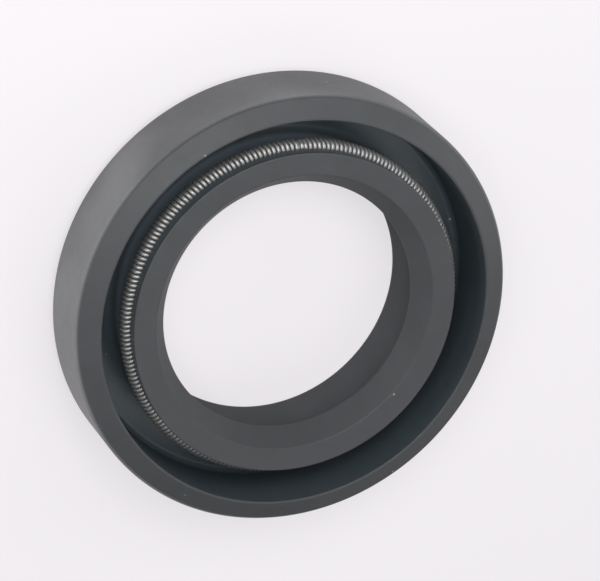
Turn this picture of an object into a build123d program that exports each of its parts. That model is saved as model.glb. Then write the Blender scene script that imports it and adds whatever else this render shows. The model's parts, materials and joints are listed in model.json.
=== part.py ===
from build123d import *
import os
from math import cos, radians, tan

# Radial shaft seal: a rubber-covered ring with a sprung sealing lip and a dust lip.
# Sizes are millimetres. The seal's axis is +Z. Its air-side face lies on z = 0,
# and its oil side, with the garter spring, faces up.

# Nominal fit: shaft, housing and width
shaft_diameter = 28.0
radial_section = 9.5  # from the shaft out to the housing bore
seal_width = 10.0
press_allowance = 0.2  # on the diameter, over the housing bore
lip_interference = 0.7  # on the diameter, under the shaft
dust_lip_gap = 0.5  # radial, to the shaft

# Outer skirt
back_chamfer_length = 1.5
back_chamfer_depth = 1.05
back_edge_rounding = 0.25
bevel_length = 0.5
bevel_depth = 0.33
nose_slope = 25.5  # degrees, from the flat
nose_rounding = 0.22
skirt_thickness = 2.5
heel_thickness = 2.3
channel_outer_rounding = 0.6
channel_inner_rounding = 1.0

# Lip head
head_setback = 0.17  # under the top of the nose
head_face_drop = 0.2  # the head's face falls this much towards its bore
head_thickness = 3.98  # from the lip's edge out to the head's wall
head_bore_step = 1.55  # from the lip's edge out to the rim of the head's bore
head_rounding = 0.15
lip_depth = 2.26  # from the rim of the head's bore down to the lip's edge
lip_land = 0.15

# Membrane between the head and the heel
root_step = 2.45  # from the lip's edge out to the root of the grease groove
root_height = 3.4
root_rounding = 0.6
membrane_thickness = 1.25
neck_depth = 0.55  # how far the membrane's outside lies within the head's wall
neck_rounding = 0.5
shoulder_step = 0.2
shoulder_height = 1.1  # from the spring's plane down to the edge of the shoulder
shoulder_slope = 45.0  # degrees

# Dust lip
dust_lip_height = 0.1
dust_lip_land = 0.25
dust_lip_thickness = 0.65
dust_groove_depth = 1.3
dust_groove_width = 1.4
dust_groove_rounding = 0.3

# Stiffening ring, moulded in
sheet_thickness = 0.9
bend_radius = 0.4  # inside the bend
outer_cover = 1.05  # rubber between the ring and the housing
back_cover = 0.7
front_cover = 1.4
bore_cover = 0.5  # rubber between the ring's hole and the dust groove

# Garter spring
coil_diameter = 1.7
spring_drop = 2.13  # from the head's outer edge down to the coil's centre
seat_clearance = 0.05
joint_angle = 226.7  # degrees round the axis, where the coil's ends screw together
joint_width = 0.9
joint_step = 0.14  # how much thinner the screwed-in end is, on the radius

# Radii of the seal, from its axis
housing_bore = shaft_diameter + 2 * radial_section
body_radius = (housing_bore + press_allowance) / 2
lip_radius = (shaft_diameter - lip_interference) / 2
dust_lip_radius = shaft_diameter / 2 + dust_lip_gap
channel_radius = body_radius - skirt_thickness
head_radius = lip_radius + head_thickness
head_bore_radius = lip_radius + head_bore_step
root_radius = lip_radius + root_step
shoulder_radius = head_radius - shoulder_step
neck_radius = head_radius - neck_depth
membrane_radius = root_radius + membrane_thickness
groove_radius = dust_lip_radius + dust_lip_thickness
heel_radius = groove_radius + dust_groove_width

# Heights over the air-side face
slope = radians(nose_slope)
head_height = seal_width - head_setback
bore_rim_height = head_height - head_face_drop
lip_height = bore_rim_height - lip_depth
spring_height = head_height - spring_drop
shoulder_edge = spring_height - shoulder_height
neck_height = shoulder_edge - (neck_depth - shoulder_step) / tan(radians(shoulder_slope))

# The nose is a cone that runs into a rounded crest, and the crest's top is the seal's width.
# nose_peak is where the cone would meet the channel's wall without that rounding.
nose_peak = seal_width + nose_rounding * (1 / cos(slope) + tan(slope) - 1)
bevel_radius = body_radius - bevel_depth
bevel_height = nose_peak - (bevel_radius - channel_radius) * tan(slope)
front_edge = bevel_height - bevel_length

# Garter spring and its seat
coil_radius = coil_diameter / 2
spring_radius = head_radius  # half the coil lies within the head's wall
seat_radius = coil_radius + seat_clearance

# Stiffening ring
ring_radius = body_radius - outer_cover
ring_inner_radius = ring_radius - sheet_thickness
ring_hole_radius = heel_radius + bore_cover
ring_front = seal_width - front_cover
flange_height = back_cover + sheet_thickness


def section(corners):
    """A closed half section. Each corner is its radius, its height and its rounding."""
    points = [(radius, height) for radius, height, _ in corners]
    roundings = [rounding for _, _, rounding in corners]
    outline = FilletPolyline(*points, radius=roundings, close=True)
    return make_face(Plane.XZ * outline)


def stiffening_ring():
    """The pressed steel ring: a cylinder with an inward flange at the air side."""
    corners = [
        (ring_radius, back_cover, bend_radius + sheet_thickness),
        (ring_radius, ring_front, 0),
        (ring_inner_radius, ring_front, 0),
        (ring_inner_radius, flange_height, bend_radius),
        (ring_hole_radius, flange_height, 0),
        (ring_hole_radius, back_cover, 0),
    ]
    return revolve(section(corners), Axis.Z)


def seal_body():
    """The moulded rubber: skirt, nose, channel, sprung lip, grease groove and dust lip."""
    skirt = [
        (body_radius - back_chamfer_depth, 0, back_edge_rounding),
        (body_radius, back_chamfer_length, back_edge_rounding),
        (body_radius, front_edge, 0),
        (bevel_radius, bevel_height, 0),
        (channel_radius, nose_peak, nose_rounding),
    ]
    channel = [
        (channel_radius, heel_thickness, channel_outer_rounding),
        (membrane_radius, heel_thickness, channel_inner_rounding),
        (neck_radius, neck_height, neck_rounding),
        (shoulder_radius, shoulder_edge, 0),
        (head_radius, spring_height, 0),
    ]
    sealing_lip = [
        (head_radius, head_height, head_rounding),
        (head_bore_radius, bore_rim_height, head_rounding),
        (lip_radius, lip_height, 0),
        (lip_radius, lip_height - lip_land, 0),
        (root_radius, root_height, root_rounding),
    ]
    dust_lip = [
        (dust_lip_radius, dust_lip_height + dust_lip_land, 0),
        (dust_lip_radius, dust_lip_height, 0),
        (groove_radius, dust_lip_height, 0),
        (groove_radius + dust_groove_width / 2, dust_groove_depth, dust_groove_rounding),
        (heel_radius, 0, 0),
    ]
    outline = section(skirt + channel + sealing_lip + dust_lip)
    seat = Plane.XZ * Pos(spring_radius, spring_height) * Circle(seat_radius)
    return revolve(outline - seat, Axis.Z) - stiffening_ring()


def coil_arc(radius, start, sweep):
    """A stretch of the closed coil's envelope, of the given coil radius."""
    circle = Plane.XZ * Pos(spring_radius, spring_height) * Circle(radius)
    return revolve(Rot(0, 0, start) * circle, Axis.Z, sweep)


def garter_spring():
    """The coil's envelope, with the neck where one end is screwed into the other."""
    neck_sweep = joint_width / (spring_radius * radians(1))
    neck_start = joint_angle - neck_sweep / 2
    coil = coil_arc(coil_radius, neck_start + neck_sweep, 360 - neck_sweep)
    return coil + coil_arc(coil_radius - joint_step, neck_start, neck_sweep)


PARTS = {
    "seal_body": seal_body,
    "stiffening_ring": stiffening_ring,
    "garter_spring": garter_spring,
}

os.makedirs("parts", exist_ok=True)
for name, make in PARTS.items():
    solid = make()
    solid.label = name
    export_step(solid, f"parts/{name}.step")
    print(name, "volume", round(solid.volume, 2), "size", solid.bounding_box().size)
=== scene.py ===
import json
from math import atan2, ceil, cos, hypot, pi, radians, sin, tan

import bmesh
import bpy
from bpy.props import FloatProperty, FloatVectorProperty, IntProperty, PointerProperty
from mathutils import Matrix, Vector
from mathutils.geometry import intersect_line_sphere_2d


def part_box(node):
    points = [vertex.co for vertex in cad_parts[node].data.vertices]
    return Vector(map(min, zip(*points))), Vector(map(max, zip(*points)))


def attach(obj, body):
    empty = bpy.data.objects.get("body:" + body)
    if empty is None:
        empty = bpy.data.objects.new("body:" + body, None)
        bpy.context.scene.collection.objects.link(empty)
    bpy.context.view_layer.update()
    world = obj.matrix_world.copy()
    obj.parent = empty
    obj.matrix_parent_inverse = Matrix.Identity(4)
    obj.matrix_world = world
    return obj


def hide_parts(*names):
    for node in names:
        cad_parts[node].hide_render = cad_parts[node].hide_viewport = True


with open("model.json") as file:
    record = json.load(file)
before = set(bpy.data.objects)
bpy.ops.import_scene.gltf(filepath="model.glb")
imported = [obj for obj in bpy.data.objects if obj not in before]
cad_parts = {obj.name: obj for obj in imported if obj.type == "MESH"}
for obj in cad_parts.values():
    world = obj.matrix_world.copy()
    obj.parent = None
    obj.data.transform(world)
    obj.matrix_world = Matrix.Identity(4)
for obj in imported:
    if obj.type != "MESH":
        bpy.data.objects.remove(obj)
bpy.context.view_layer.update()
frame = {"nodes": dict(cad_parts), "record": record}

bl_info = {
    "name": "Radial shaft seal",
    "version": (1, 0, 0),
    "blender": (4, 5, 0),
    "location": "3D View > Sidebar > Shaft Seal",
    "description": "Moulds the seal's rubber, winds its garter spring and sets the stage",
    "category": "Object",
}

# Everything is in metres, in the row's frame: the seal lies on z = 0, with its axis on +Z and
# its oil side, where the spring shows, up. The camera stands on the -Y side.

MM = 0.001
MOUNTS = {mount["name"]: mount for mount in frame["record"]["mounts"]}
LIP = MOUNTS["shaft_lip"]
CYLINDER = MOUNTS["housing_fit"]
BODY_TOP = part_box("seal_body")[1]
SPRING_LOW, SPRING_HIGH = (Vector(corner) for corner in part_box("garter_spring"))
COIL_RADIUS = 0.85  # millimetres, outside


def size(name, description, value):
    """A length, given in millimetres."""
    return FloatProperty(
        name=name, description=description, default=value * MM, unit="LENGTH", precision=5
    )


def share(name, description, value, high=1.0):
    """A number from 0 to high."""
    return FloatProperty(name=name, description=description, default=value, min=0, max=high)


def number(name, description, value):
    """A plain number, such as turns."""
    return FloatProperty(name=name, description=description, default=value, min=0)


def count(name, description, value):
    """A whole number of steps."""
    return IntProperty(name=name, description=description, default=value, min=8)


def angle(name, description, value):
    """An angle, given in degrees."""
    return FloatProperty(
        name=name, description=description, default=radians(value), subtype="ANGLE"
    )


def tint(name, description, value):
    """A linear colour."""
    return FloatVectorProperty(
        name=name, description=description, default=value, size=3, min=0, max=1, subtype="COLOR"
    )


class SealRubberSettings(bpy.types.PropertyGroup):
    """The moulded rubber: its half section and its finish."""

    body_radius: size("Body radius", "Outer cylinder", BODY_TOP[0] / MM)
    top_height: size("Top height", "Crest of the nose over the air-side face", BODY_TOP[2] / MM)
    back_chamfer: size("Back chamfer", "Length of the lead-in chamfer at the air side", 1.5)
    back_chamfer_depth: size("Back chamfer depth", "Radial depth of that chamfer", 1.05)
    back_rounding: size("Back rounding", "Both edges of that chamfer", 0.25)
    bevel_length: size("Bevel length", "Bevel round the front edge, along the axis", 0.5)
    bevel_depth: size("Bevel depth", "Bevel round the front edge, across the axis", 0.33)
    nose_slope: angle("Nose slope", "Cone of the nose, from the flat", 25.5)
    nose_rounding: size("Nose rounding", "Crest between the nose and the channel", 0.22)
    skirt_thickness: size("Skirt thickness", "Wall between the channel and the housing", 2.5)
    heel_thickness: size("Heel thickness", "Wall under the channel", 2.3)
    channel_outer_rounding: size("Channel outer rounding", "Foot of the skirt's wall", 0.6)
    channel_inner_rounding: size("Channel inner rounding", "Foot of the membrane", 1.0)
    lip_radius: size("Lip radius", "Free sealing lip", LIP["dims"]["r_mm"])
    lip_height: size("Lip height", "Middle of the lip's land", LIP["pos_m"][2] / MM)
    lip_land: size("Lip land", "Length of the land", LIP["dims"]["length_mm"])
    head_thickness: size("Head thickness", "From the lip's edge out to the head's wall", 3.98)
    head_setback: size("Head setback", "Head's face under the crest of the nose", 0.17)
    head_drop: size("Head drop", "Fall of the head's face towards its bore", 0.2)
    head_bore_step: size("Head bore step", "From the lip's edge out to the head's bore", 1.55)
    head_rounding: size("Head rounding", "Both edges of the head's face", 0.15)
    shoulder_step: size("Shoulder step", "Edge under the spring, within the head's wall", 0.2)
    shoulder_depth: size("Shoulder depth", "From the spring's plane down to that edge", 1.1)
    neck_depth: size("Neck depth", "Neck under the shoulder, within the head's wall", 0.55)
    neck_drop: size("Neck drop", "From the shoulder's edge down to the neck", 0.35)
    neck_rounding: size("Neck rounding", "Between the shoulder's slope and the membrane", 0.5)
    membrane_step: size("Membrane step", "From the lip's edge out to the membrane", 3.7)
    root_step: size("Root step", "From the lip's edge out to the grease groove's root", 2.45)
    root_height: size("Root height", "Root of the grease groove", 3.4)
    root_rounding: size("Root rounding", "Root of the grease groove", 0.6)
    dust_lip_radius: size("Dust lip radius", "Bore of the dust lip", 14.5)
    dust_lip_height: size("Dust lip height", "Over the air-side face", 0.1)
    dust_lip_land: size("Dust lip land", "Length of its edge", 0.25)
    dust_lip_thickness: size("Dust lip thickness", "From its bore out to its groove", 0.65)
    dust_groove_width: size("Dust groove width", "Groove outside the dust lip", 1.4)
    dust_groove_depth: size("Dust groove depth", "From the air-side face up to its root", 1.3)
    dust_groove_rounding: size("Dust groove rounding", "Its root", 0.3)
    seat_clearance: size("Seat clearance", "Between the spring and its seat", 0.05)
    edge_rounding: size("Edge rounding", "Wear and mould radius of the sharp corners", 0.06)
    seat_steps: count("Seat steps", "Steps round the spring's seat", 16)
    steps: count("Steps", "Steps round the axis", 256)
    colour: tint("Colour", "Moulded nitrile rubber", (0.0445, 0.0474, 0.0512))
    outside_colour: tint("Outside colour", "Ground outer cylinder, paler", (0.108, 0.111, 0.114))
    channel_colour: tint("Channel colour", "Oily wall of the channel", (0.044, 0.058, 0.066))
    # Painted fill light: the membrane deep in the channel is coloured this pale greyish blue,
    # standing in for light that reaches that wall
    painted_fill_colour: tint("Painted fill colour", "Grease on the membrane, greyish blue", (0.44, 0.58, 0.70))
    roughness: share("Roughness", "Satin of the moulded faces", 0.56)
    refraction: number("Refraction", "Index of refraction, lower for less gloss", 1.42)
    channel_roughness: share("Channel roughness", "The film is glossier", 0.34)
    mottle: share("Mottle", "Cloudy variation of the grey", 0.25)
    worn_shade: share("Worn shade", "Darkest patches of the outer cylinder, of its colour", 0.86)
    bare_shade: share("Bare shade", "Palest patches of the outer cylinder", 1.34, 2)
    speck_colour: tint("Speck colour", "Dust in the moulded faces", (0.30, 0.29, 0.27))
    speck_strength: share("Speck strength", "How much of that colour shows", 0.7)


class GarterSpringSettings(bpy.types.PropertyGroup):
    """The closed coil spring round the lip head."""

    ring_radius: size("Ring radius", "Middle line of the coil", SPRING_HIGH.x / MM - COIL_RADIUS)
    height: size("Height", "The coil's plane", (SPRING_LOW.z + SPRING_HIGH.z) / 2 / MM)
    coil_radius: size("Coil radius", "Outside of the coil", COIL_RADIUS)
    wire: size("Wire", "Wire diameter", 0.45)
    turns: number("Turns", "Turns in a whole ring of this pitch", 226)
    joint_angle: angle("Joint angle", "Where the ends screw together, round the axis", 226.7)
    nib_turns: number("Nib turns", "Narrow turns that show", 2.5)
    nib_sweep: angle("Nib sweep", "Angle round the axis that the nib shows", 3.3)
    nib_step: size("Nib step", "How much thinner the nib is, on the radius", 0.10)
    nib_blend: number("Nib blend", "Turns in which it narrows", 0.6)
    tail_length: size("Tail length", "The nib's end inside the coil's other end", 2.2)
    tail_turns: number("Tail turns", "Turns of that end", 1.2)
    tail_radius: size("Tail radius", "Middle line of the tail's wire", 0.08)
    turn_steps: count("Turn steps", "Points in a turn", 24)
    colour: tint("Colour", "Drawn spring wire", (0.385, 0.378, 0.366))
    roughness: share("Roughness", "Drawn finish", 0.52)
    # Painted shade between the turns: near the coil's middle line the wire takes this dark colour
    # instead of bright metal, standing in for the shade where the turns face each other
    gap_shade_colour: tint("Gap shade colour", "Old oil between the turns", (0.10, 0.108, 0.116))
    gap_shade_low: size("Gap shade depth", "All grime, this far from the coil's middle line", 0.73)
    gap_shade_high: size("Gap shade edge", "Bright wire, this far from that line", 0.825)


class StiffeningRingSettings(bpy.types.PropertyGroup):
    """The pressed steel ring inside the rubber."""

    colour: tint("Colour", "Phosphated sheet", (0.23, 0.23, 0.225))
    roughness: share("Roughness", "Phosphated sheet", 0.62)
    metallic: share("Metallic", "The crystals dull the metal", 0.75)


class SealStageSettings(bpy.types.PropertyGroup):
    """Floor, light and camera."""

    floor_size: size("Floor size", "Side of the floor", 4000)
    floor_colour: tint("Floor colour", "What the camera sees", (0.902, 0.872, 0.9))
    floor_shadow: share("Floor shadow", "Share of the floor that takes shadows", 0.27)
    floor_glow: share("Floor glow", "How bright the rest of the floor is", 0.93)
    surroundings: share("Surroundings", "Light from all round", 0.15, 2)
    reflected: share("Reflected", "How bright the surroundings are in gloss", 0.1, 2)
    elevation: angle("Elevation", "Camera over the horizon", 59.06)
    roll: angle("Roll", "Camera about its own axis", 136.27)
    distance: size("Distance", "Camera to the front edge's centre", 405.3)
    side: size("Side", "Frame's centre to the right of that point", 0.795)
    rise: size("Rise", "Frame's centre over that point", 1.958)
    sensor: number("Sensor", "Width of the camera's sensor in mm", 36)
    lens: number("Lens", "Focal length in mm", 236.1)


class Value:
    """A socket in a sum. + - * and ** on it add Math nodes, and so does high."""

    def __init__(self, tree, socket):
        self.tree = tree
        self.socket = socket

    def math(self, operation, *terms):
        node = self.tree.nodes.new("ShaderNodeMath")
        node.operation = operation
        for slot, term in zip(node.inputs, terms):
            if isinstance(term, Value):
                self.tree.links.new(term.socket, slot)
            else:
                slot.default_value = term
        return Value(self.tree, node.outputs[0])

    def __add__(self, other):
        return self.math("ADD", self, other)

    def __radd__(self, other):
        return self.math("ADD", other, self)

    def __sub__(self, other):
        return self.math("SUBTRACT", self, other)

    def __rsub__(self, other):
        return self.math("SUBTRACT", other, self)

    def __mul__(self, other):
        return self.math("MULTIPLY", self, other)

    def __rmul__(self, other):
        return self.math("MULTIPLY", other, self)

    def __pow__(self, other):
        return self.math("POWER", self, other)

    def high(self, other):
        return self.math("MAXIMUM", self, other)


class Finish:
    """A material, or the world, under construction."""

    def __init__(self, tree):
        self.tree = tree
        tree.nodes.clear()

    def node(self, kind, settings=None, inputs=None):
        """Adds a node. Its settings come first, then its sockets' values or links."""
        node = self.tree.nodes.new(kind)
        for name, value in (settings or {}).items():
            setattr(node, name, value)
        for name, value in (inputs or {}).items():
            if isinstance(value, Value):
                self.tree.links.new(value.socket, node.inputs[name])
            else:
                node.inputs[name].default_value = value
        return node

    def value(self, kind, output, settings=None, inputs=None):
        """Adds a node and gives one of its outputs."""
        return Value(self.tree, self.node(kind, settings, inputs).outputs[output])

    def place(self):
        """The piece's own coordinates, as a vector and as x, y and z."""
        place = self.value("ShaderNodeTexCoord", "Object")
        parts = self.node("ShaderNodeSeparateXYZ", None, {0: place}).outputs
        return place, *(Value(self.tree, part) for part in parts)

    def rays(self):
        """1 for a camera ray, for a glossy ray and for a ray that goes through glass."""
        path = self.node("ShaderNodeLightPath").outputs
        kinds = ("Is Camera Ray", "Is Glossy Ray", "Is Transmission Ray")
        return [Value(self.tree, path[kind]) for kind in kinds]

    def band(self, value, start, end, low=0.0, high=1.0):
        """Goes smoothly from low to high while value goes from start to end."""
        smooth = {"interpolation_type": "SMOOTHSTEP"}
        inputs = {"Value": value, "From Min": start, "From Max": end}
        inputs.update({"To Min": low, "To Max": high})
        return self.value("ShaderNodeMapRange", 0, smooth, inputs)

    def noise(self, place, scale, detail):
        """Noise from 0 to 1. Scale is in lumps to the metre."""
        inputs = {"Vector": place, "Scale": scale, "Detail": detail}
        return self.value("ShaderNodeTexNoise", "Fac", None, inputs)

    def mix(self, factor, a, b):
        """Colour a where factor is 0, and b where it is 1."""
        inputs = {0: factor, 6: a, 7: b}
        return self.value("ShaderNodeMix", 2, {"data_type": "RGBA"}, inputs)

    def scale(self, colour, factor):
        """A colour made darker or paler by a number."""
        inputs = {0: colour, "Scale": factor}
        return self.value("ShaderNodeVectorMath", 0, {"operation": "SCALE"}, inputs)

    def bump(self, height, distance, strength):
        """A Normal from a height from 0 to 1 and what 1 is, in metres."""
        inputs = {"Height": height, "Distance": distance, "Strength": strength}
        return self.value("ShaderNodeBump", 0, None, inputs)

    def surface(self, inputs):
        """The shader and the output."""
        shader = self.value("ShaderNodeBsdfPrincipled", 0, None, inputs)
        self.node("ShaderNodeOutputMaterial", None, {"Surface": shader})


def new_finish(name):
    """A new node material and its Finish."""
    material = bpy.data.materials.new(name)
    material.use_nodes = True
    return material, Finish(material.node_tree)


def rgba(colour, factor=1.0):
    """A socket's colour, made darker or paler by a factor."""
    return (*(channel * factor for channel in colour), 1)


def reach(x, y):
    """How far a point is from the middle, from its two coordinates."""
    return (x * x + y * y) ** 0.5


def add_object(name, data):
    """An object at the origin, unturned and unscaled."""
    piece = bpy.data.objects.new(name, data)
    bpy.context.scene.collection.objects.link(piece)
    return piece


def nearest(bm, radius, height):
    """The vertex of a flat section that is nearest to a corner."""
    return min(bm.verts, key=lambda v: hypot(v.co.x - radius, v.co.z - height))


# The moulded mesh: the most that one face of a rounding turns, how near two points are one, how
# close to its ends a long edge is split, and the turn from which an edge is shaded sharp
ROUNDING_STEP = radians(13)
SAME_POINT = 0.002 * MM
HOLD_GAP = 0.05 * MM
SHARP_TURN = radians(40)


def round_corner(bm, radius, height, rounding):
    """Rounds one corner of the flat section."""
    corner = nearest(bm, radius, height)
    a, b = ((edge.other_vert(corner).co - corner.co).normalized() for edge in corner.link_edges)
    turn = pi - a.angle(b)
    bmesh.ops.bevel(
        bm,
        geom=[corner],
        offset=rounding * tan(turn / 2),
        offset_type="OFFSET",
        segments=max(3, ceil(turn / ROUNDING_STEP)),
        profile=0.5,
        affect="VERTICES",
        material=-1,
        clamp_overlap=False,
    )


def hold_edges(bm, gap):
    """Splits each long edge close to both its ends, so that its face stays straight in shading."""
    for edge in [e for e in bm.edges if e.calc_length() > 4 * gap]:
        for end in edge.verts[:]:
            bmesh.utils.edge_split(edge, end, gap / edge.calc_length())


def crossing(a, b, middle, radius):
    """Where the line from a to b goes through a circle."""
    return next(p for p in intersect_line_sphere_2d(a, b, middle, radius, True) if p)


def rubber_section(s, spring):
    """The half section's corners as radius, height and rounding, from the spring seat's upper
    end over the lip, the air side and the nose to the seat's lower end, and the seat's circle."""
    edge = s.edge_rounding
    head = s.lip_radius + s.head_thickness
    head_top = s.top_height - s.head_setback
    rim = head_top - s.head_drop
    channel = s.body_radius - s.skirt_thickness
    root = s.lip_radius + s.root_step
    membrane = s.lip_radius + s.membrane_step
    groove = s.dust_lip_radius + s.dust_lip_thickness
    land = s.lip_land / 2
    slope = s.nose_slope
    peak = s.top_height + s.nose_rounding * (1 / cos(slope) + tan(slope) - 1)
    bevel = s.body_radius - s.bevel_depth
    bevel_top = peak - (bevel - channel) * tan(slope)
    seat_middle = Vector((spring.ring_radius, spring.height))
    seat = spring.coil_radius + s.seat_clearance
    shoulder = Vector((head - s.shoulder_step, spring.height - s.shoulder_depth))
    wall = Vector((head, spring.height))
    above = Vector((head, head_top))
    seat_low = crossing(shoulder, wall, seat_middle, seat)
    seat_high = crossing(wall, above, seat_middle, seat)
    corners = [
        (seat_high.x, seat_high.y, 0),
        (head, head_top, s.head_rounding),
        (s.lip_radius + s.head_bore_step, rim, s.head_rounding),
        (s.lip_radius, s.lip_height + land, edge),
        (s.lip_radius, s.lip_height - land, edge),
        (root, s.root_height, s.root_rounding),
        (s.dust_lip_radius, s.dust_lip_height + s.dust_lip_land, edge),
        (s.dust_lip_radius, s.dust_lip_height, edge),
        (groove, s.dust_lip_height, edge),
        (groove + s.dust_groove_width / 2, s.dust_groove_depth, s.dust_groove_rounding),
        (groove + s.dust_groove_width, 0, edge),
        (s.body_radius - s.back_chamfer_depth, 0, s.back_rounding),
        (s.body_radius, s.back_chamfer, s.back_rounding),
        (s.body_radius, bevel_top - s.bevel_length, 2 * edge),
        (bevel, bevel_top, 2 * edge),
        (channel, peak, s.nose_rounding),
        (channel, s.heel_thickness, s.channel_outer_rounding),
        (membrane, s.heel_thickness, s.channel_inner_rounding),
        (head - s.neck_depth, shoulder.y - s.neck_drop, s.neck_rounding),
        (shoulder.x, shoulder.y, edge),
        (seat_low.x, seat_low.y, 0),
    ]
    return corners, seat_middle, seat_low, seat_high


def mould_rubber(s, spring):
    """Turns the half section round the axis."""
    corners, middle, low, high = rubber_section(s, spring)
    bm = bmesh.new()
    points = [bm.verts.new((radius, 0, height)) for radius, height, _ in corners]
    for a, b in zip(points, points[1:]):
        bm.edges.new((a, b))
    start = atan2(low.y - middle.y, low.x - middle.x)
    end = atan2(high.y - middle.y, high.x - middle.x)
    bmesh.ops.spin(
        bm,
        geom=[points[-1]],
        cent=(middle.x, 0, middle.y),
        axis=(0, 1, 0),
        angle=2 * pi - (end - start),
        steps=s.seat_steps,
        use_merge=False,
    )
    bmesh.ops.remove_doubles(bm, verts=bm.verts, dist=SAME_POINT)
    bmesh.ops.edgeloop_fill(bm, edges=bm.edges[:])
    for radius, height, rounding in corners:
        if rounding:
            round_corner(bm, radius, height, rounding)
    bmesh.ops.delete(bm, geom=bm.faces[:], context="FACES_ONLY")
    hold_edges(bm, HOLD_GAP)
    bmesh.ops.spin(
        bm,
        geom=bm.verts[:] + bm.edges[:],
        cent=(0, 0, 0),
        axis=(0, 0, 1),
        angle=2 * pi,
        steps=s.steps,
        use_merge=True,
    )
    bmesh.ops.recalc_face_normals(bm, faces=bm.faces)
    for face in bm.faces:
        face.smooth = True
    for edge in bm.edges:
        edge.smooth = edge.is_manifold and edge.calc_face_angle() < SHARP_TURN
    mesh = bpy.data.meshes.new("seal_rubber")
    bm.to_mesh(mesh)
    bm.free()
    return mesh


# Patterns, in lumps to the metre
RUBBER_PATCHES = 65
RUBBER_CLOUDS = 170
RUBBER_FINE_CLOUDS = 900
RUBBER_SPECKS = 700
RUBBER_PITS = 2400
RUBBER_GRAIN = 9000
WIRE_CLOUDS = 1500
WIRE_DRAWING = 14000
SHEET_CLOUDS = 600
SHEET_CRYSTALS = 9000

# Where a pattern begins to show, and where it shows in full
PATCH_START, PATCH_END = 0.36, 0.64
DOT_EDGE, DOT_MIDDLE = 0.11, 0.07
PICK_START, PICK_END = 0.92, 0.93

# How high a pattern's bumps stand
GRAIN_HEIGHT = 0.006 * MM
DRAWING_HEIGHT = 0.002 * MM
CRYSTAL_HEIGHT = 0.01 * MM


def rubber_colour(s, f, place, radius):
    """Moulded near-black, and the outer cylinder paler, ground in patches."""
    ground = f.band(radius, s.body_radius - s.bevel_depth, s.body_radius - 0.05 * MM)
    worn = f.band(f.noise(place, RUBBER_PATCHES, 1), PATCH_START, PATCH_END)
    darkest = rgba(s.outside_colour, s.worn_shade)
    palest = rgba(s.outside_colour, s.bare_shade)
    return f.mix(ground, rgba(s.colour), f.mix(worn, darkest, palest))


def channel_film_and_fill(s, f, radius, z):
    """Where the channel's film lies, and its colour: a pale greyish blue on the membrane, which is
    painted fill light standing in for light that reaches that deep wall, and dark oil on the
    skirt's wall, on the floor and above the spring."""
    head = s.lip_radius + s.head_thickness
    skirt = s.body_radius - s.skirt_thickness
    floor = s.heel_thickness
    from_head = f.band(radius, head - 0.6 * MM, head + 0.05 * MM)
    to_skirt = f.band(radius, skirt + 0.05 * MM, skirt + 0.3 * MM, 1, 0)
    under_crest = f.band(z, s.top_height - 0.6 * MM, s.top_height - 0.25 * MM, 1, 0)
    by_skirt = f.band(radius, head + 0.4 * MM, head + 1.6 * MM)
    over_spring = f.band(z, SPRING_LOW.z, SPRING_LOW.z + 0.6 * MM)
    on_floor = f.band(z, floor + 0.4 * MM, floor + 1.4 * MM, 1, 0)
    oil = by_skirt.high(over_spring).high(on_floor)
    # Painted fill light on the membrane, and the oil colour on the skirt's wall, the floor and
    # above the spring
    colour = f.mix(oil, rgba(s.painted_fill_colour), rgba(s.channel_colour))
    return from_head * to_skirt * under_crest, colour


def specks(s, f, place):
    """How much a grain of dust shows: small dots in one cell out of twelve."""
    inputs = {"Vector": place, "Scale": RUBBER_SPECKS}
    cells = f.node("ShaderNodeTexVoronoi", None, inputs).outputs
    dot = f.band(Value(f.tree, cells["Distance"]), DOT_MIDDLE, DOT_EDGE, 1, 0)
    pick = f.value("ShaderNodeSeparateColor", 0, None, {0: Value(f.tree, cells["Color"])})
    return dot * f.band(pick, PICK_START, PICK_END) * s.speck_strength


def rubber_finish(s):
    """Satin black rubber: cloudy grey, a fine moulded grain, and an oily film in the channel, with
    painted fill light on the membrane: a pale greyish blue.
    """
    material, f = new_finish("moulded_rubber")
    place, x, y, z = f.place()
    radius = reach(x, y)
    # The channel's colour carries painted fill light: pale on the membrane, oil colour elsewhere
    film, painted_fill_colour = channel_film_and_fill(s, f, radius, z)
    plain = f.mix(film, rubber_colour(s, f, place, radius), painted_fill_colour)
    cloud = f.noise(place, RUBBER_CLOUDS, 3) * 0.6 + f.noise(place, RUBBER_FINE_CLOUDS, 3) * 0.4
    cloudy = f.scale(plain, 1 - s.mottle + cloud * (2 * s.mottle))
    pits = f.noise(place, RUBBER_PITS, 2)
    grain = f.noise(place, RUBBER_GRAIN, 2) * 0.7 + pits * 0.3
    gloss = film * (s.channel_roughness - s.roughness)
    f.surface(
        {
            "Base Color": f.mix(specks(s, f, place), cloudy, rgba(s.speck_colour)),
            "Roughness": s.roughness + (pits - 0.5) * 0.12 + gloss,
            "Normal": f.bump(grain, GRAIN_HEIGHT, 0.5),
            "IOR": s.refraction,
        }
    )
    return material


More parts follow.
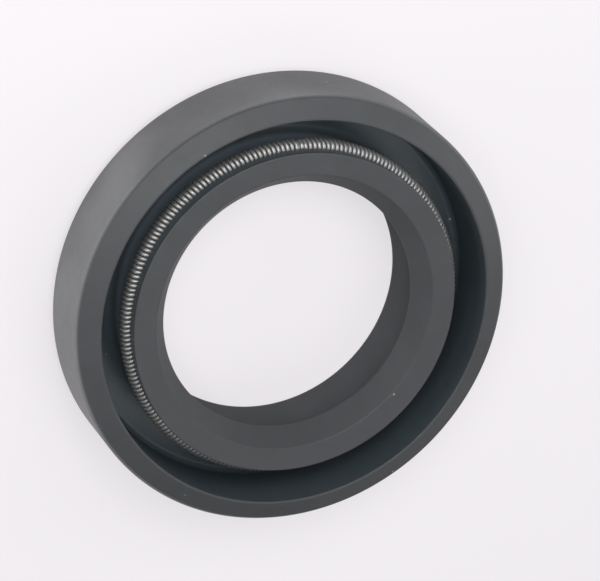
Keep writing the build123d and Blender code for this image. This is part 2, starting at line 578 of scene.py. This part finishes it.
def coil_points(s):
    """Points on the wire's middle line: the whole coil, the narrow nib where it shows, and the
    nib's tail that is screwed into the coil's other end. The coil is right-handed. It starts on
    its inner side, at the head's wall."""
    coil = s.coil_radius - s.wire / 2
    nib = coil - s.nib_step
    main_sweep = 2 * pi - s.nib_sweep
    main_turns = s.turns * main_sweep / (2 * pi)

    def nib_radius(t):
        return coil + (nib - coil) * min(1, t * s.nib_turns / s.nib_blend)

    def tail_radius(t):
        """Shrinks to the tail's own radius in the first third."""
        return s.tail_radius + (nib - s.tail_radius) * max(0, 1 - t * 3) ** 2

    # Each stretch: angle round the axis, turns, points, and the radius from its start to its end
    stretches = (
        (main_sweep, main_turns, round(main_turns * s.turn_steps), lambda t: coil),
        (s.nib_sweep, s.nib_turns, round(s.nib_turns * s.turn_steps), nib_radius),
        (s.tail_length / s.ring_radius, s.tail_turns, 2 * s.turn_steps, tail_radius),
    )

    def on_wire(azimuth, turn, radius):
        out = s.ring_radius + radius * cos(turn)
        return (out * cos(azimuth), out * sin(azimuth), s.height + radius * sin(turn))

    azimuth, turn = s.joint_angle + s.nib_sweep / 2, pi
    points = [on_wire(azimuth, turn, coil)]
    for sweep, turns, steps, radius in stretches:
        for i in range(1, steps + 1):
            t = i / steps
            points.append(on_wire(azimuth + t * sweep, turn - 2 * pi * turns * t, radius(t)))
        azimuth += sweep
        turn -= 2 * pi * turns
    return points


def wind_spring(s):
    """Runs round wire along the coil's points."""
    points = coil_points(s)
    curve = bpy.data.curves.new("garter_coil", "CURVE")
    curve.dimensions = "3D"
    curve.bevel_depth = s.wire / 2
    curve.bevel_resolution = 3
    curve.use_fill_caps = True
    spline = curve.splines.new("POLY")
    spline.points.add(len(points) - 1)
    for point, place in zip(spline.points, points):
        point.co = (*place, 1)
    wire = add_object("garter_wire", curve)
    bpy.context.view_layer.update()
    shape = wire.evaluated_get(bpy.context.evaluated_depsgraph_get())
    mesh = bpy.data.meshes.new_from_object(shape)
    bpy.data.objects.remove(wire)
    bpy.data.curves.remove(curve)
    mesh.name = "garter_coil"
    for face in mesh.polygons:
        face.use_smooth = True
    return mesh


def wire_finish(s):
    """Bright drawn wire, with painted shade between the turns: the inner part of each turn's
    section is coloured dark and dull.
    """
    material, f = new_finish("drawn_spring_wire")
    place, x, y, z = f.place()
    joint = s.ring_radius * Vector((cos(s.joint_angle), sin(s.joint_angle)))
    at_nib = f.band(reach(x - joint.x, y - joint.y), 0.4 * MM, 0.55 * MM, 1, 0)
    depth = reach(reach(x, y) - s.ring_radius, z - s.height) + at_nib * s.nib_step
    cloud = f.noise(place, WIRE_CLOUDS, 3)
    fine = f.noise(place, WIRE_DRAWING, 2)
    # Painted shade between the turns: 0 where the wire is coloured dark and dull near the coil's
    # middle line, 1 on the bright wire
    unshaded = f.band(depth + (cloud - 0.5) * (0.03 * MM), s.gap_shade_low, s.gap_shade_high)
    colour = f.mix(cloud, rgba(s.colour, 0.86), rgba(s.colour, 1.06))
    f.surface(
        {
            "Base Color": f.mix(unshaded, rgba(s.gap_shade_colour), colour),
            "Metallic": unshaded,
            "Roughness": s.roughness + (fine - 0.5) * 0.16 + (1 - unshaded) * 0.25,
            "Normal": f.bump(fine, DRAWING_HEIGHT, 0.4),
        }
    )
    return material


def ring_finish(s):
    """Phosphated sheet steel: a dull grey crystalline coat."""
    material, f = new_finish("phosphated_steel")
    place = f.value("ShaderNodeTexCoord", "Object")
    cloud = f.noise(place, SHEET_CLOUDS, 3)
    inputs = {"Vector": place, "Scale": SHEET_CRYSTALS}
    crystals = f.value("ShaderNodeTexVoronoi", "Distance", None, inputs)
    colour = f.mix(cloud * 0.6 + crystals * 0.4, rgba(s.colour, 0.7), rgba(s.colour, 1.25))
    f.surface(
        {
            "Base Color": colour,
            "Metallic": s.metallic,
            "Roughness": s.roughness + (cloud - 0.5) * 0.15,
            "Normal": f.bump(crystals, CRYSTAL_HEIGHT, 0.4),
        }
    )
    return material


def dress(name, mesh, material, node):
    """Puts a mesh in a CAD node's place."""
    piece = add_object(name, mesh)
    mesh.materials.clear()
    mesh.materials.append(material)
    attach(piece, "root")
    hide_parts(node)


def add_floor(s):
    """A pale floor. The camera and gloss see it nearly white, and it keeps the seal's shadow."""
    bm = bmesh.new()
    bmesh.ops.create_grid(bm, x_segments=1, y_segments=1, size=s.floor_size / 2)
    mesh = bpy.data.meshes.new("floor")
    bm.to_mesh(mesh)
    bm.free()
    material, f = new_finish("pale_floor")
    camera, glossy, through = f.rays()
    seen = (camera * (1 - s.floor_shadow)).high(glossy).high(through)
    plain = f.value("ShaderNodeBsdfDiffuse", 0, None, {"Color": rgba(s.floor_colour)})
    glow = {"Color": rgba(s.floor_colour), "Strength": s.floor_glow}
    bright = f.value("ShaderNodeEmission", 0, None, glow)
    both = f.value("ShaderNodeMixShader", 0, None, {0: seen, 1: plain, 2: bright})
    f.node("ShaderNodeOutputMaterial", None, {"Surface": both})
    mesh.materials.append(material)
    floor = add_object("floor", mesh)


def add_world(s):
    """Even light from all round, nearly white to the camera and in gloss."""
    world = bpy.data.worlds.new("studio")
    bpy.context.scene.world = world
    world.use_nodes = True
    f = Finish(world.node_tree)
    camera, glossy, through = f.rays()

    def background(colour, strength):
        inputs = {"Color": rgba(colour), "Strength": strength}
        return f.value("ShaderNodeBackground", 0, None, inputs)

    def either(factor, a, b):
        return f.value("ShaderNodeMixShader", 0, None, {0: factor, 1: a, 2: b})

    dim = background((0.97, 0.98, 1), s.surroundings)
    gloss = background((1, 1, 1), s.reflected)
    lit = either(glossy.high(through), dim, gloss)
    both = either(camera, lit, background(s.floor_colour, 1))
    f.node("ShaderNodeOutputWorld", None, {"Surface": both})


# Soft lights: name, degrees round the axis, degrees up, distance, breadth, power in watts
SOFTBOXES = (
    ("far_left_light", 0, 12, 0.60, 0.35, 0.68),
    ("back_light", 90, 38, 0.60, 0.35, 0.443),
    ("high_back_light", 90, 64, 0.25, 0.12, 0.07),
    ("right_light", 150, 14, 0.20, 0.12, 0.171),
    ("upper_light", 200, 48, 0.12, 0.08, 0.03),
    ("key_light", 236, 54, 0.16, 0.08, 0.066),
    ("front_light", 270, 59, 0.20, 0.12, 0.25),
    ("left_light", 300, 14, 0.20, 0.12, 0.10),
    ("far_front_light", 330, 38, 0.30, 0.20, 0.061),
)


def add_softbox(name, azimuth, elevation, distance, breadth, power):
    """A square soft light that faces the seal."""
    data = bpy.data.lights.new(name, "AREA")
    data.shape = "SQUARE"
    data.size = breadth
    data.energy = power
    lamp = add_object(name, data)
    across, up = radians(azimuth), radians(elevation)
    aim = Vector((cos(across) * cos(up), sin(across) * cos(up), sin(up)))
    place = Vector((0, 0, BODY_TOP[2])) + aim * distance
    turn = aim.to_track_quat("Z", "Y").to_matrix().to_4x4()
    lamp.matrix_world = Matrix.Translation(place) @ turn


def add_camera(s):
    """The camera, over the -Y side."""
    data = bpy.data.cameras.new("camera")
    data.sensor_width = s.sensor
    data.lens = s.lens
    data.clip_start = 0.01
    data.clip_end = 50
    camera = add_object("camera", data)
    back = Vector((0, -cos(s.elevation), sin(s.elevation)))
    level = Vector((1, 0, 0))
    right = level * cos(s.roll) + back.cross(level) * sin(s.roll)
    up = back.cross(right)
    front_edge = CYLINDER["pos_m"][2] + CYLINDER["dims"]["length_mm"] * MM / 2
    target = Vector((0, 0, front_edge))
    place = target + back * s.distance + right * s.side + up * s.rise
    turn = Matrix((right, up, back)).transposed().to_4x4()
    camera.matrix_world = Matrix.Translation(place) @ turn
    bpy.context.scene.camera = camera


class SEAL_OT_rubber(bpy.types.Operator):
    """Mould the seal's rubber in the place of its CAD node"""

    bl_idname = "seal.rubber"
    bl_label = "Mould Rubber"

    def execute(self, context):
        s = context.scene.seal_rubber
        mesh = mould_rubber(s, context.scene.garter_spring)
        dress("seal_rubber", mesh, rubber_finish(s), "seal_body")
        return {"FINISHED"}


class SEAL_OT_spring(bpy.types.Operator):
    """Wind the garter spring in the place of its CAD node"""

    bl_idname = "seal.spring"
    bl_label = "Wind Spring"

    def execute(self, context):
        s = context.scene.garter_spring
        dress("garter_coil", wind_spring(s), wire_finish(s), "garter_spring")
        return {"FINISHED"}


class SEAL_OT_ring(bpy.types.Operator):
    """Finish the CAD model's steel ring, which the rubber hides"""

    bl_idname = "seal.ring"
    bl_label = "Finish Steel Ring"

    def execute(self, context):
        ring = frame["nodes"]["stiffening_ring"]
        finish = ring_finish(context.scene.stiffening_ring)
        for slot in ring.material_slots:
            slot.material = finish
        return {"FINISHED"}


class SEAL_OT_stage(bpy.types.Operator):
    """Set the floor, the light and the camera"""

    bl_idname = "seal.stage"
    bl_label = "Set Stage"

    def execute(self, context):
        s = context.scene.seal_stage
        context.scene.view_settings.view_transform = "Standard"
        add_floor(s)
        add_world(s)
        for softbox in SOFTBOXES:
            add_softbox(*softbox)
        add_camera(s)
        return {"FINISHED"}


class SEAL_PT_sidebar(bpy.types.Panel):
    """The seal's pieces, each with its sizes"""

    bl_label = "Shaft Seal"
    bl_space_type = "VIEW_3D"
    bl_region_type = "UI"
    bl_category = "Shaft Seal"

    def draw(self, context):
        for group, operator in GROUPS.items():
            box = self.layout.box()
            box.operator(operator.bl_idname)
            settings = getattr(context.scene, group)
            for name in settings.bl_rna.properties.keys():
                if name not in ("rna_type", "name"):
                    box.prop(settings, name)


GROUPS = {
    "seal_rubber": SEAL_OT_rubber,
    "garter_spring": SEAL_OT_spring,
    "stiffening_ring": SEAL_OT_ring,
    "seal_stage": SEAL_OT_stage,
}
SETTINGS = {
    "seal_rubber": SealRubberSettings,
    "garter_spring": GarterSpringSettings,
    "stiffening_ring": StiffeningRingSettings,
    "seal_stage": SealStageSettings,
}


def register():
    for name, settings in SETTINGS.items():
        bpy.utils.register_class(settings)
        setattr(bpy.types.Scene, name, PointerProperty(type=settings))
    for operator in GROUPS.values():
        bpy.utils.register_class(operator)
    bpy.utils.register_class(SEAL_PT_sidebar)


def unregister():
    bpy.utils.unregister_class(SEAL_PT_sidebar)
    for operator in GROUPS.values():
        bpy.utils.unregister_class(operator)
    for name, settings in SETTINGS.items():
        delattr(bpy.types.Scene, name)
        bpy.utils.unregister_class(settings)


def main():
    register()
    bpy.ops.seal.rubber()
    bpy.ops.seal.spring()
    bpy.ops.seal.ring()
    bpy.ops.seal.stage()


if __name__ == "__main__":
    main()
